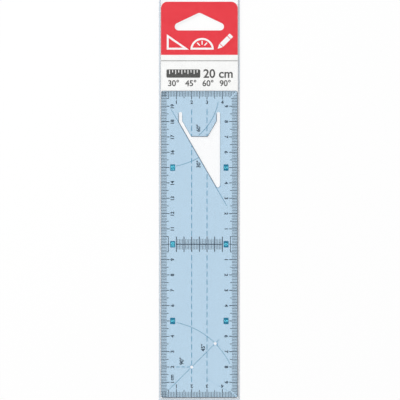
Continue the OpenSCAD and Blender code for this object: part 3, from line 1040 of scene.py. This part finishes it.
@dataclass
class FilmSleeve:
    """The clear sleeve: a level back web, a front web drawn over the contents, and three welds."""

    body: str = "sleeve"
    film_t: float = 0.1 * MM
    web_gap: float = 0.02 * MM
    wall_foot: float = 0.3 * MM
    wall_run: float = 0.45 * MM
    ruler_clear: float = 0.3 * MM
    card_clear: float = 0.12 * MM
    slope_run: float = 16.0 * MM
    ripple: float = 0.16 * MM
    ripple_len: float = 34.0 * MM
    ripple_w: float = 11.0 * MM
    ripple_seed: float = 0.3
    card_calm: float = 0.7
    lip_curl: float = 0.35 * MM
    lip_run: float = 5.0 * MM
    cell: float = 2.2 * MM
    wall_cell: float = 0.09 * MM
    join_angle: float = 0.6
    slot_w: float = 32.0 * MM
    slot_h: float = 11.4 * MM
    slot_r: float = 2.5 * MM
    slot_drop: float = 7.3 * MM
    slot_keep: float = 0.5 * MM
    slot_side_steps: int = 10
    slot_top_steps: int = 6
    weld_clear: float = 0.1 * MM
    weld_edge: float = 0.06 * MM
    weld_rows: tuple[float, ...] = (0.0, 0.12, 0.5, 0.88, 1.0)
    weld_arch: Span = (0.08, 0.92)
    rib_pitch: float = 1.2 * MM
    rib_h: float = 0.06 * MM
    rib_rest: float = 0.35
    rib_steps: int = 4

    def __post_init__(self) -> None:
        """Reads the sleeve's outline and the places of its contents from the frame."""
        low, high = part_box("sleeve_back_film")
        self.half_w = high.x
        self.foot_y, self.mouth_y = low.y, high.y
        self.back_top = high.z
        self.pocket_half = -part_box("sleeve_bottom_seam")[0].x
        self.pocket_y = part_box("sleeve_bottom_seam")[1].y
        self.card_low, self.card_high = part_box("header_card")
        self.plate_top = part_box("ruler_plate")[1].z
        self.print_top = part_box("header_red_print")[1].z
        self.flange_z = self.back_top + self.web_gap + self.film_t
        self.slot = self.slot_loop()

    def build(self) -> None:
        """Builds the two webs and the three welds."""
        self.add_web("sleeve_back_web", "sleeve_back_film", lambda x, y: self.back_top, self.back_top)
        self.add_web("sleeve_front_web", "sleeve_front_film", self.front_height, self.film_t)
        self.add_welds()

    def slot_loop(self) -> list[Point]:
        """Outline of the three-cornered hang slot, with its flat side down.

        Returns:
            The outline's points, anticlockwise.
        """
        foot = self.card_high.y - self.slot_drop - self.slot_h
        side_x = self.slot_w / 2 - self.slot_r
        low_y, top_y = foot + self.slot_r, foot + self.slot_h - self.slot_r
        lean = math.degrees(math.atan2(top_y - low_y, side_x))
        return [
            *arc((side_x, low_y), self.slot_r, -90.0, 90.0 - lean, self.slot_side_steps),
            *arc((0.0, top_y), self.slot_r, 90.0 - lean, 90.0 + lean, self.slot_top_steps),
            *arc((-side_x, low_y), self.slot_r, 90.0 + lean, 270.0, self.slot_side_steps),
        ]

    def front_height(self, x: float, y: float) -> float:
        """Height of the front web's outer face.

        Args:
            x: Place across the sleeve.
            y: Place along it.

        Returns:
            The height: low on the flanges, then up over the contents.
        """
        side = self.pocket_half + self.wall_foot - abs(x)
        end = y - (self.pocket_y - self.wall_foot)
        rise = smooth(side / self.wall_run) * smooth(end / self.wall_run)
        over_ruler = self.plate_top + self.ruler_clear + self.film_t
        over_card = self.print_top + self.card_clear + self.film_t
        climb = smooth((y - self.card_low.y + self.slope_run) / self.slope_run)
        calm = smooth(side / self.ripple_w) * smooth(end / self.ripple_w)
        wave = noise.noise(Vector((x / self.ripple_w, y / self.ripple_len, self.ripple_seed)))
        crown = over_ruler + (over_card - over_ruler) * climb
        crown += self.ripple * calm * (1.0 + wave) * (1.0 - self.card_calm * climb)
        crown += self.lip_curl * smooth((y - self.mouth_y + self.lip_run) / self.lip_run) ** 2
        return self.flange_z + (crown - self.flange_z) * rise

    def add_web(
        self, name: str, node: str, height: Callable[[float, float], float], thickness: float
    ) -> None:
        """Builds one web with the hang slot cut out of it.

        Args:
            name: Name of the piece.
            node: CAD node that it stands for.
            height: Height of the web's outer face at a place.
            thickness: Thickness of the web.
        """
        wall_x, wall_y = self.pocket_half + self.wall_foot, self.pocket_y - self.wall_foot
        wall = stations(wall_x - self.wall_run, wall_x, self.wall_cell)
        inner = stations(-wall[0], wall[0], self.cell)[1:-1]
        xs = [-self.half_w, *(-x for x in reversed(wall)), *inner, *wall, self.half_w]
        end = stations(wall_y, wall_y + self.wall_run, self.wall_cell)
        ys = [self.foot_y, *end, *stations(end[-1], self.mouth_y, self.cell)[1:]]
        rim = [(x, ys[0]) for x in xs] + [(xs[-1], y) for y in ys[1:]]
        rim += [(x, ys[-1]) for x in reversed(xs[:-1])] + [(xs[0], y) for y in reversed(ys[1:-1])]
        field_points = [(x, y) for x in xs[1:-1] for y in ys[1:-1] if not self.near_slot((x, y))]
        corners, faces = triangulate([rim, self.slot], field_points)
        shape = bmesh.new()
        made = [shape.verts.new((x, y, height(x, y))) for x, y in corners]
        for face in faces:
            shape.faces.new([made[i] for i in face])
        bmesh.ops.join_triangles(
            shape,
            faces=shape.faces[:],
            angle_face_threshold=self.join_angle,
            angle_shape_threshold=self.join_angle,
        )
        thicken(shape, shape.faces, thickness)
        settle(new_piece(name, shape), self.body, FILM, "clear_film", node)

    def near_slot(self, point: Point) -> bool:
        """True for a point in the slot or too close to its edge for a neat mesh."""
        gap = min(math.dist(point, corner) for corner in self.slot)
        return gap < self.slot_keep or inside(point, self.slot)

    def add_welds(self) -> None:
        """Builds the ribbed weld strips along both sides and the closed end."""
        inner_x = self.pocket_half + self.wall_foot + self.weld_clear
        inner_y = self.pocket_y - self.wall_foot - self.weld_clear
        foot_y = self.foot_y + self.weld_edge
        width = self.half_w - self.weld_edge - inner_x
        side_run = (0.0, self.mouth_y - self.weld_edge - foot_y)
        end_run = (2.0 * inner_x, 0.0)
        left, right = (-inner_x, foot_y), (inner_x, foot_y)
        self.add_weld("sleeve_left_weld", "sleeve_left_seam", left, side_run, (-width, 0.0))
        self.add_weld("sleeve_right_weld", "sleeve_right_seam", right, side_run, (width, 0.0))
        self.add_weld("sleeve_bottom_weld", "sleeve_bottom_seam", left, end_run, (0.0, inner_y - foot_y))

    def add_weld(self, name: str, node: str, corner: Point, along: Point, across: Point) -> None:
        """Builds one weld strip with cross ribs.

        Args:
            name: Name of the piece.
            node: CAD node that it stands for.
            corner: Where the strip starts.
            along: Way from there to its other end.
            across: Way from there to its other side.
        """
        shape = bmesh.new()
        rows = []
        base = self.flange_z + self.web_gap
        length = math.hypot(*along)
        low, high = self.weld_arch
        for reach in stations(0.0, length, self.rib_pitch / self.rib_steps):
            wave = 0.5 - 0.5 * math.cos(2.0 * math.pi * reach / self.rib_pitch)
            row = []
            for share in self.weld_rows:
                arch = math.sin(math.pi * (low + (high - low) * share))
                x, y = (corner[i] + along[i] * reach / length + across[i] * share for i in (0, 1))
                row.append(shape.verts.new((x, y, base + self.rib_h * (self.rib_rest + wave) * arch)))
            rows.append(row)
        for row, after in zip(rows, rows[1:]):
            for i in range(len(row) - 1):
                shape.faces.new((row[i], row[i + 1], after[i + 1], after[i]))
        thicken(shape, shape.faces, self.web_gap / 2)
        settle(new_piece(name, shape), self.body, WELD, "film_seam", node)


@dataclass
class Studio:
    """White floor, soft lamps, pale surroundings and the camera at the photograph's place."""

    floor_size: float = 12.0
    floor_cells: int = 4
    floor_gap: float = 0.01 * MM
    photo_side_px: float = 400.0
    photo_px_per_mm: float = 1.536
    object_middle_px: float = 199.35
    lens_mm: float = 200.0
    sensor_mm: float = 36.0
    scale_level: float = 2.3 * MM
    clear_bounces: int = 32
    world_level: float = 0.42
    mirrored_level: float = 0.6
    glow: float = 0.45
    glow_rise: Span = (0.15, 0.5)
    glow_fall: Span = (0.7, 0.95)
    lamp_size: float = 0.9
    key_place: Triple = (-0.8, 0.65, 1.5)
    key_power: float = 21.6
    fill_place: Triple = (0.95, -0.5, 1.45)
    fill_power: float = 4.4

    def build(self) -> None:
        """Builds the stage, the lamps, the surroundings and the camera."""
        self.add_floor()
        self.add_lamp("key_lamp", self.key_place, self.key_power)
        self.add_lamp("fill_lamp", self.fill_place, self.fill_power)
        self.set_world()
        self.add_camera()
        scene = bpy.context.scene
        scene.view_settings.view_transform = "Standard"
        scene.cycles.transparent_max_bounces = self.clear_bounces
        LOG.info("studio ready")

    def add_floor(self) -> None:
        """Lays a wide floor just under the object."""
        shape = bmesh.new()
        cells = self.floor_cells
        bmesh.ops.create_grid(shape, x_segments=cells, y_segments=cells, size=self.floor_size / 2)
        floor = new_piece("studio_floor", shape)
        floor.location.z = CAD_BOX[0].z - self.floor_gap
        FLOOR.dress(floor)

    def add_lamp(self, name: str, place: Triple, power: float) -> None:
        """Adds a square soft lamp that points at the object.

        Args:
            name: Name of the lamp.
            place: Where it stands.
            power: Its power in watts.
        """
        data = bpy.data.lights.new(name, "AREA")
        data.size = self.lamp_size
        data.energy = power
        lamp = bpy.data.objects.new(name, data)
        bpy.context.scene.collection.objects.link(lamp)
        lamp.location = place
        lamp.rotation_euler = (-Vector(place)).to_track_quat("-Z", "Y").to_euler()

    def set_world(self) -> None:
        """Sets pale surroundings that show as white and light the object softly."""
        world = bpy.data.worlds.new("pale_surroundings")
        world.use_nodes = True
        graph = NodeGraph(world.node_tree)
        mirrored = graph.source("LightPath", "Is Glossy Ray")
        aim = graph.source("TexCoord", "Generated")
        height = graph.add("ShaderNodeSeparateXYZ", {}, {"Vector": aim}, "Z")
        glow = self.glow * height.ramp(*self.glow_rise) * (1.0 - height.ramp(*self.glow_fall))
        strength = self.world_level + (self.mirrored_level - self.world_level + glow) * mirrored
        strength = strength + (1.0 - self.world_level) * graph.shown_rays()
        sky = graph.add("ShaderNodeBackground", {}, {"Color": (1.0, 1.0, 1.0, 1.0), "Strength": strength})
        graph.add("ShaderNodeOutputWorld", {}, {"Surface": sky})
        bpy.context.scene.world = world

    def add_camera(self) -> None:
        """Looks straight down with a long lens, framed as the photograph is."""
        data = bpy.data.cameras.new("camera")
        data.lens = self.lens_mm
        data.sensor_width = self.sensor_mm
        camera = bpy.data.objects.new("camera", data)
        bpy.context.scene.collection.objects.link(camera)
        seen = self.photo_side_px / self.photo_px_per_mm * MM
        aside = (self.photo_side_px / 2 - self.object_middle_px) / self.photo_px_per_mm * MM
        camera.location = (aside, 0.0, seen * self.lens_mm / self.sensor_mm + self.scale_level)
        bpy.context.scene.camera = camera


def main() -> None:
    """Builds the studio, then the looks of each sub-assembly."""
    logging.basicConfig(level=logging.INFO, format="%(name)s: %(message)s")
    Studio().build()
    for assembly in (RulerAssembly(), HeaderCard(), FilmSleeve()):
        assembly.build()


if __name__ == "__main__":
    main()
